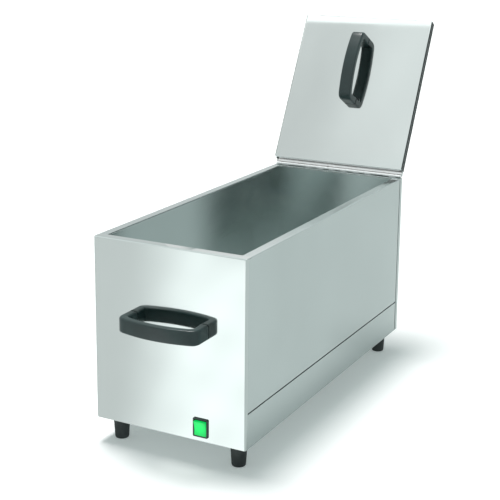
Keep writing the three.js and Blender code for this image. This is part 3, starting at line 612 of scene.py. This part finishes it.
# ---------------------------------------------------------------------- rocker
def rocker_mesh():
    """Dished face towards -Y. Local to the pivot, before its tilt."""
    face = []
    for k in range(21):
        z = -11.6 + 23.2 * k / 20
        face.append((-4.4 + 1.5 * (1 - (z / 11.6) ** 2), z))
    prof = face + [(-4.15, 11.85), (-3.6, 11.9), (1.0, 11.4)] + [(5.6 * math.cos(rad(a)), 5.0 + (11.4 - 5.0) * 0) for a in ()]
    prof += [(2.9, 8.2), (4.5, 4.8), (5.4, 1.6), (5.55, 0), (5.4, -1.6), (4.5, -4.8), (2.9, -8.2), (1.0, -11.4), (-3.6, -11.9), (-4.15, -11.85)]
    loops = []
    cy, cz = 0.4, 0.0
    for x, inset in ((-10.05, 0.75), (-9.95, 0.38), (-9.65, 0.1), (-9.2, 0.0), (-3, 0), (3, 0), (9.2, 0.0), (9.65, 0.1), (9.95, 0.38), (10.05, 0.75)):
        loop = []
        for y, z in prof:
            v = Vector((y - cy, z - cz))
            L = v.length
            s = (L - inset) / L
            loop.append(Vector((x, (cy + v.x * s) - 2.0, cz + v.y * s)) * MM)
        loops.append(loop)
    return loft(loops)


tilt = Matrix.Translation((57 * MM, FRONT + 2 * MM, 62 * MM)) @ Matrix.Rotation(rad(8), 4, "X")
piece("rocker_button_lit", moved(rocker_mesh(), tilt), MATS["green_rocker"], "rocker_button", ("rocker",), 40)


# ---------------------------------------------------------------- rear hinge
PITCH = 12.5


def extruded(outline, x0, x1, ease=0.12):
    """Outline of (y, z) mm run along X, capped at both ends."""
    c = Vector((sum(p[0] for p in outline) / len(outline), sum(p[1] for p in outline) / len(outline)))
    return loft([[Vector((x0, y, z)) * MM for y, z in outline], [Vector((x1, y, z)) * MM for y, z in outline]])


def curled(start, end, r_out, r_in, leaf, seg=28):
    """Section of a leaf curled round the pin; leaf = (outer end point, inner end point)."""
    out = [(r_out * math.cos(rad(start + (end - start) * k / seg)), r_out * math.sin(rad(start + (end - start) * k / seg))) for k in range(seg + 1)]
    inn = [(r_in * math.cos(rad(start + (end - start) * k / seg)), r_in * math.sin(rad(start + (end - start) * k / seg))) for k in range(seg, -1, -1)]
    return [leaf[0]] + out + inn + [leaf[1]]


N_REAR = 21
half = N_REAR * PITCH / 2
fixed, moving = [], []
for i in range(N_REAR):
    x0, x1 = -half + i * PITCH + 0.2, -half + (i + 1) * PITCH - 0.2
    if i % 2 == 0:
        fixed.append(extruded(curled(0, 292, 3.0, 2.1, ((3.0, -4.2), (2.1, -4.2))), x0, x1))
    else:
        moving.append(extruded(curled(90, -198, 3.0, 2.1, ((-4.4, 3.0), (-4.4, 2.1))), x0, x1))


def plate(y0, y1, z0, z1, x0, x1, r=1.6):
    """Thin plate with square corners."""
    return loft([[Vector((x, y0, z0)) * MM, Vector((x, y1, z0)) * MM, Vector((x, y1, z1)) * MM, Vector((x, y0, z1)) * MM] for x in (x0, x1)])


fixed.append(plate(2.1, 3.0, -19.4, -3.8, -half + 0.2, half - 0.2))
moving.append(plate(-27.0, -3.9, 2.1, 3.0, -half + 0.2, half - 0.2))
at_pin = Matrix.Translation(PIN)
open_lid = at_pin @ Matrix.Rotation(-LEAN, 4, "X")
piece("rear_hinge_fixed_curled", moved(merge(fixed), at_pin), MATS["hinge"], "cabinet", ("rear_hinge_fixed_leaf",), 30, bevel=0.00012)
piece("rear_hinge_moving_curled", moved(merge(moving), open_lid), MATS["hinge"], "lid_rear", ("rear_hinge_moving_leaf",), 30, bevel=0.00012)


def round_pin(r, length, seg=24):
    p = [(0, -length / 2), (r * 0.55, -length / 2 + 0.06), (r * 0.86, -length / 2 + 0.25), (r, -length / 2 + 0.65), (r, length / 2 - 0.65), (r * 0.86, length / 2 - 0.25), (r * 0.55, length / 2 - 0.06), (0, length / 2)]
    v, f = lathe([(a * MM, z * MM) for a, z in p], seg)
    return moved((v, f), Matrix.Rotation(rad(90), 4, "Y"))


piece("rear_hinge_pin_round", moved(round_pin(1.75, 2 * half), at_pin), MATS["hinge"], "cabinet", ("rear_hinge_pin",), 60)
lo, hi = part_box("fold_hinge_pin")
piece("fold_hinge_pin_round", moved(round_pin(1.22, (hi.x - lo.x) / MM), Matrix.Translation((lo + hi) / 2)), MATS["hinge"], "lid_rear", ("fold_hinge_pin",), 60)


# ------------------------------------------------------------ slotted floor
def slotted_floor():
    """Sheet standing on two side legs, with three rows of pressed, rolled-edge slots."""
    lo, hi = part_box("perforated_floor")
    lo, hi = lo / MM, hi / MM
    zt = hi.z
    parts = []
    y_first = FRONT / MM + 67.5
    cell_x, cell_y = 72.0, 46.0

    def ring(cx, cy, hx, hy, r, z, n=8):
        return [Vector((cx + a, cy + b, z)) for a, b in rounded_rect(hx, hy, r, n)]

    def frame_ring(cx, cy, hx, hy, z, n=8):
        pts = []
        per = n + 1
        corners = [(hx, hy), (-hx, hy), (-hx, -hy), (hx, -hy)]
        for k in range(4):
            (x1, y1) = corners[k]
            (xp, yp) = corners[k - 1]
            (xn, yn) = corners[(k + 1) % 4]
            half_n = n // 2
            for j in range(per):
                if j <= half_n:
                    w = 0.42 * (1 - j / half_n)
                    pts.append(Vector((cx + x1 + (xp - x1) * w * (0.9 if k % 2 == 0 else 0.9), cy + y1 + (yp - y1) * w * 0.9, z)))
                else:
                    w = 0.42 * ((j - half_n) / half_n)
                    pts.append(Vector((cx + x1 + (xn - x1) * w * 0.9, cy + y1 + (yn - y1) * w * 0.9, z)))
        return pts

    for j in range(12):
        for x in (-72, 0, 72):
            cy = y_first + j * cell_y
            top = [frame_ring(x, cy, cell_x / 2, cell_y / 2, zt), ring(x, cy, 27.0, 8.0, 7.95, zt), ring(x, cy, 25.6, 6.6, 6.55, zt - 0.12),
                   ring(x, cy, 24.7, 5.7, 5.65, zt - 0.45), ring(x, cy, 24.2, 5.2, 5.15, zt - 1.0), ring(x, cy, 24.0, 5.0, 4.95, zt - 1.9),
                   ring(x, cy, 24.9, 5.9, 5.85, zt - 1.9), ring(x, cy, 25.6, 6.6, 6.55, zt - 1.3), ring(x, cy, 27.0, 8.0, 7.95, zt - 1.0),
                   frame_ring(x, cy, cell_x / 2, cell_y / 2, zt - 1.0)]
            parts.append(loft([[p * MM for p in l] for l in top], close_ends=False))
    y0, y1 = y_first - cell_y / 2, y_first + 11.5 * cell_y
    x0, x1 = -108.0, 108.0

    def slab(xa, xb, ya, yb):
        return loft([[Vector((xa, ya, z)) * MM, Vector((xb, ya, z)) * MM, Vector((xb, yb, z)) * MM, Vector((xa, yb, z)) * MM] for z in (zt - 1.0, zt)])
    parts += [slab(x0, x1, lo.y, y0), slab(x0, x1, y1, hi.y)]
    # side margins with a bent edge and a leg down to the liner
    for s in (-1, 1):
        prof = [(108, zt), (hi.x - 1.8, zt)] + [(hi.x - 1.8 + 1.8 * math.sin(rad(a)), zt - 1.8 + 1.8 * math.cos(rad(a))) for a in (22.5, 45, 67.5, 90)]
        prof += [(hi.x, lo.z), (hi.x - 1, lo.z)] + [(hi.x - 1.8 + 0.8 * math.sin(rad(a)), zt - 1.8 + 0.8 * math.cos(rad(a))) for a in (90, 67.5, 45, 22.5, 0)] + [(108, zt - 1)]
        parts.append(loft([[Vector((s * x, y, z)) * MM for x, z in prof] for y in (lo.y, hi.y)]))
    return merge(parts)


piece("slotted_floor_pressed", slotted_floor(), MATS["slotted"], "cabinet", ("perforated_floor",), 32)


# --------------------------------------------------------------- mains inlet
def inlet():
    lo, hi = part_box("power_inlet")
    cx, cz = -62.0, (lo.z + hi.z) / 2 / MM
    yb = BACK / MM
    def loop(hx, hz, r, y, n=6):
        return [Vector((cx + a, y, cz + b)) * MM for a, b in rounded_rect(hx, hz, r, n)]
    shell = loft([
        loop(13.4, 9.9, 1.0, yb - 22), loop(13.5, 10, 1.0, yb - 21.6), loop(13.5, 10, 1.0, yb + 0.3), loop(15.9, 12.9, 4.0, yb + 0.3),
        loop(16, 13, 4.0, yb + 0.7), loop(16, 13, 4.0, yb + 2.1), loop(15.8, 12.8, 3.9, yb + 2.6), loop(15.2, 12.2, 3.6, yb + 2.9),
        loop(12.6, 8.8, 3.2, yb + 2.9), loop(12.15, 8.35, 3.0, yb + 2.6), loop(12, 8.2, 3.0, yb + 2.0), loop(12, 8.2, 3.0, yb - 16)])
    pins = []
    for x, z in ((-7, -1), (7, -1), (0, 3)):
        def pl(hx, hz, y, r):
            return [Vector((cx + x + a, y, cz + z + b)) * MM for a, b in rounded_rect(hx, hz, r, 3)]
        pins.append(loft([pl(1, 2, yb - 16, 0.3), pl(1, 2, yb - 6, 0.3), pl(0.8, 1.8, yb - 5.3, 0.3), pl(0.4, 1.3, yb - 5, 0.25)]))
    return shell, merge(pins)


shell, pins = inlet()
piece("power_inlet_shell", shell, MATS["black_plastic"], "cabinet", ("power_inlet",), 35)
piece("power_inlet_pins", pins, MATS["pin_metal"], "cabinet", (), 35)


# ------------------------------------------------------------ lid edge strips
def edge_strip(y0, y1, z0, z1, side):
    """Soft strip pressed on a leaf's side edge, with a half-round outer face. Closed-lid (y, z) from the rear pin, mm."""
    zc, h = (z0 + z1) / 2, (z1 - z0) / 2
    sec = [(-0.02, -h), (0.30, -h), (0.62, -h * 0.72), (0.80, -h * 0.3), (0.80, h * 0.3), (0.62, h * 0.72), (0.30, h), (-0.02, h)]
    loops = []
    for y, k in ((y0, 0.5), (y0 + 0.5, 0.85), (y0 + 1.4, 1.0), (y1 - 1.4, 1.0), (y1 - 0.5, 0.85), (y1, 0.5)):
        loops.append([Vector((side * (133.0 + (a * k if a > 0 else a)), y, zc + b * (0.9 + 0.1 * k))) * MM for a, b in sec])
    return loft(loops)


for side, tag in ((-1, "left"), (1, "right")):
    piece("lid_rear_edge_strip_" + tag, moved(edge_strip(-311.0, -9.0, -2.3, 3.7, side), open_lid), MATS["foot_rubber"], "lid_rear", (), 40)
    piece("lid_front_edge_strip_" + tag, moved(edge_strip(-311.0, -10.5, -10.2, -4.2, side), open_lid), MATS["foot_rubber"], "lid_front", (), 40)


# ---------------------------------------------------------------- spot welds
def weld_marks(points, normal, up):
    """Shallow round marks where sheets are spot welded."""
    side = normal.cross(up)
    m = Matrix(((side.x, up.x, normal.x, 0), (side.y, up.y, normal.y, 0), (side.z, up.z, normal.z, 0), (0, 0, 0, 1)))
    prof = [(0, 0.045), (1.2, 0.04), (1.7, 0.06), (2.05, 0.13), (2.35, 0.12), (2.6, 0.03), (2.75, -0.06), (0, -0.06)]
    one = lathe([(r * MM, z * MM) for r, z in prof], 24)
    return merge([moved(one, Matrix.Translation(p) @ m) for p in points])


y_leaf = PIN.y + 3.0 * MM
piece("hinge_spot_welds", weld_marks([Vector((x * MM, y_leaf, TOP - 9.5 * MM)) for x in (-118, -70, -42, 0, 42, 70, 118) if True], Vector((0, 1, 0)), Vector((0, 0, 1))), MATS["hinge"], "cabinet", (), 30)
stop_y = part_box("lid_stop_left")[0].y
piece("stop_spot_welds", weld_marks([Vector((x * MM, PIN.y + 3.0 * MM + 2.3 * MM, TOP - z * MM)) for x in (-84, 84) for z in (30, 43)], Vector((0, 1, 0)), Vector((0, 0, 1))), MATS["casing_x"], "cabinet", (), 30)

# -------------------------------------------------------------- floor, lights
def stage_mesh(name, verts, faces, mat, camera=False, diffuse=False, shadow=False, glossy=True):
    me = bpy.data.meshes.new(name)
    me.from_pydata([tuple(v) for v in verts], [], faces)
    o = bpy.data.objects.new(name, me)
    scene.collection.objects.link(o)
    me.materials.append(mat)
    o.visible_camera, o.visible_diffuse, o.visible_shadow, o.visible_glossy = camera, diffuse, shadow, glossy
    return o


fm = bpy.data.materials.new("studio_floor")
fm.use_nodes = True
fb = fm.node_tree.nodes["Principled BSDF"]
fb.inputs["Roughness"].default_value = 0.9
fb.inputs["Specular IOR Level"].default_value = 0.15
# The floor's colour drops from 0.86 to 0.50 in glossy rays: the steel mirrors a darker floor than the camera sees,
# painted shade in its reflections.
flp = fm.node_tree.nodes.new("ShaderNodeLightPath")
fmx = fm.node_tree.nodes.new("ShaderNodeMix")
fmx.data_type = "RGBA"
fmx.inputs[6].default_value = (0.86, 0.875, 0.872, 1)
fmx.inputs[7].default_value = (0.50, 0.52, 0.517, 1)
fb.inputs["Emission Color"].default_value = (0.90, 1.0, 0.985, 1)
fb.inputs["Emission Strength"].default_value = 0.235
fm.node_tree.links.new(flp.outputs["Is Glossy Ray"], fmx.inputs["Factor"])
fm.node_tree.links.new(fmx.outputs[2], fb.inputs["Base Color"])
stage_mesh("studio_floor", [(-14, -14, -0.0003), (14, -14, -0.0003), (14, 14, -0.0003), (-14, 14, -0.0003)], [(0, 1, 2, 3)], fm, True, True, True, True)

world = bpy.data.worlds.new("studio")
scene.world = world
world.use_nodes = True
wn = world.node_tree
wn.nodes.clear()
wo = wn.nodes.new("ShaderNodeOutputWorld")
soft = wn.nodes.new("ShaderNodeBackground")       # what lights the matt surfaces
soft.inputs[0].default_value = (0.80, 0.93, 0.915, 1)
soft.inputs[1].default_value = 0.36
bright = wn.nodes.new("ShaderNodeBackground")     # what the backdrop and the mirror-like steel show
bright.inputs[1].default_value = 1.0
tc = wn.nodes.new("ShaderNodeTexCoord")
sep = wn.nodes.new("ShaderNodeSeparateXYZ")
wn.links.new(tc.outputs["Generated"], sep.inputs[0])
mr = wn.nodes.new("ShaderNodeMapRange")
mr.inputs["From Min"].default_value, mr.inputs["From Max"].default_value = 0.05, 0.75
mr.inputs["To Min"].default_value, mr.inputs["To Max"].default_value = 0.0, 1.0
wn.links.new(sep.outputs["Z"], mr.inputs["Value"])
mx = wn.nodes.new("ShaderNodeMix")
mx.data_type = "RGBA"
wn.links.new(mr.outputs[0], mx.inputs["Factor"])
mx.inputs[6].default_value = (1.04, 1.06, 1.06, 1)
mx.inputs[7].default_value = (1.16, 1.20, 1.20, 1)
back = wn.nodes.new("ShaderNodeMapRange")
back.interpolation_type = "SMOOTHSTEP"
back.inputs["From Min"].default_value, back.inputs["From Max"].default_value = 0.05, 0.55
back.inputs["To Min"].default_value, back.inputs["To Max"].default_value = 0.0, 1.0
wn.links.new(sep.outputs["Y"], back.inputs["Value"])
gl = wn.nodes.new("ShaderNodeLightPath")
bg = wn.nodes.new("ShaderNodeMath")
bg.operation = "MULTIPLY"
wn.links.new(back.outputs[0], bg.inputs[0])
wn.links.new(gl.outputs["Is Glossy Ray"], bg.inputs[1])
dim = wn.nodes.new("ShaderNodeMix")
dim.data_type = "RGBA"
wn.links.new(bg.outputs[0], dim.inputs["Factor"])
wn.links.new(mx.outputs[2], dim.inputs[6])
dim.inputs[7].default_value = (0.80, 0.83, 0.83, 1)
wn.links.new(dim.outputs[2], bright.inputs[0])
lp = wn.nodes.new("ShaderNodeLightPath")
ms = wn.nodes.new("ShaderNodeMixShader")
wn.links.new(lp.outputs["Is Diffuse Ray"], ms.inputs[0])
wn.links.new(bright.outputs[0], ms.inputs[1])
wn.links.new(soft.outputs[0], ms.inputs[2])
wn.links.new(ms.outputs[0], wo.inputs[0])

sun = bpy.data.lights.new("key", "SUN")
sun.energy = 2.75
sun.angle = rad(18)
sun.color = (1.0, 0.96, 0.96)
so = bpy.data.objects.new("key", sun)
scene.collection.objects.link(so)
so.rotation_mode = "QUATERNION"
so.rotation_quaternion = (-Vector((-0.17, 0.12, 0.975))).to_track_quat("-Z", "Y")


def mirrored(point_on, normal, px, py):
    """Where a look at (px, py) meets a flat face, and the way it goes on from there."""
    d = ray(px, py)
    t = (point_on - cam_c).dot(normal) / d.dot(normal)
    p = cam_c + d * t
    return p, (d - 2 * d.dot(normal) * normal).normalized()


def card(name, point_on, normal, xs, ys, reach, level, colour=(1, 1, 1), floor=0.004):
    """A reflector that a flat face shows, with its brightness and its cover from level(px, py)."""
    verts, glow, cover = [], [], []
    for y in ys:
        for x in xs:
            p, r = mirrored(point_on, normal, x, y)
            t = reach
            if r.z < 0:
                t = min(t, 0.93 * (p.z - floor) / -r.z)
            verts.append(p + r * max(t, 0.02))
            g, c = level(x, y)
            glow.append(g)
            cover.append(c)
    w = len(xs)
    faces = [(i * w + j, i * w + j + 1, (i + 1) * w + j + 1, (i + 1) * w + j) for i in range(len(ys) - 1) for j in range(w - 1)]
    m = bpy.data.materials.new(name)
    m.use_nodes = True
    nt = m.node_tree
    nt.nodes.clear()
    out = nt.nodes.new("ShaderNodeOutputMaterial")
    em = nt.nodes.new("ShaderNodeEmission")
    em.inputs[0].default_value = (*colour, 1)
    tr = nt.nodes.new("ShaderNodeBsdfTransparent")
    mix = nt.nodes.new("ShaderNodeMixShader")
    a1 = nt.nodes.new("ShaderNodeAttribute")
    a1.attribute_name = "glow"
    a2 = nt.nodes.new("ShaderNodeAttribute")
    a2.attribute_name = "cover"
    nt.links.new(a1.outputs["Fac"], em.inputs[1])
    nt.links.new(a2.outputs["Fac"], mix.inputs[0])
    nt.links.new(tr.outputs[0], mix.inputs[1])
    nt.links.new(em.outputs[0], mix.inputs[2])
    nt.links.new(mix.outputs[0], out.inputs[0])
    o = stage_mesh(name, verts, faces, m)
    for key, vals in (("glow", glow), ("cover", cover)):
        at = o.data.attributes.new(key, "FLOAT", "POINT")
        at.data.foreach_set("value", vals)
    return o


def step(a, b, x):
    t = min(max((x - a) / (b - a), 0), 1)
    return t * t * (3 - 2 * t)


def steps(a, b, n):
    return [a + (b - a) * i / n for i in range(n + 1)]


def front_level(x, y):
    rise = step(118, 205, x + 0.10 * (y - 330))
    cloud = 0.05 * math.sin(x * 0.11 + y * 0.07) + 0.04 * math.sin(x * 0.045 - y * 0.13 + 1.0)
    top = 0.30 * step(292, 252, y) * step(150, 245, x)
    g = 1.0 + 0.70 * rise + cloud * rise - top
    return g, 1.0


card("front_reflector", Vector((0, FRONT, 0)), Vector((0, -1, 0)), steps(70, 262, 32), steps(215, 470, 32), 0.8, front_level, (0.985, 1.0, 0.995))

# bright strip that the opened lid's top edge shows
lid_face = PIN + n_front * (10.9 * MM)


def lid_level(x, y):
    edge = 21.4 + (25.8 - 21.4) * (x - 308) / 119.4
    t = step(edge - 0.6, edge + 0.6, y)
    face = 1.01 + 0.20 * step(308, 385, x + 0.15 * (y - 80)) + 0.03 * math.sin(x * 0.06 + y * 0.05)
    return 1.95 + (face - 1.95) * t, 1.0 - step(150, 200, y)


card("lid_reflector", lid_face, n_front, steps(245, 465, 22),
     [-30, -10, 0, 8, 12, 15, 17, 18, 19, 20, 21, 22, 23, 24, 25, 26, 27, 28, 30, 40, 55, 70, 85, 100, 115, 130, 150, 175, 200], 0.22, lid_level)


# soft light that the well's left wall shows
def well_level(x, y):
    g = 0.53 - 0.14 * step(185, 235, x)
    return g, 0.95 * step(104, 128, x) * (1 - step(190, 226, x))


card("well_reflector", Vector((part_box("liner_trough")[0].x + 13.7 * MM, 0, 0)), Vector((1, 0, 0)), steps(98, 262, 24), steps(180, 262, 12), 0.13, well_level, (0.86, 1.0, 0.985), 0.13)

scene.view_settings.view_transform = "Standard"
scene.view_settings.look = "None"
scene.view_settings.exposure = 0.0
scene.view_settings.gamma = 1.0

bpy.context.view_layer.update()
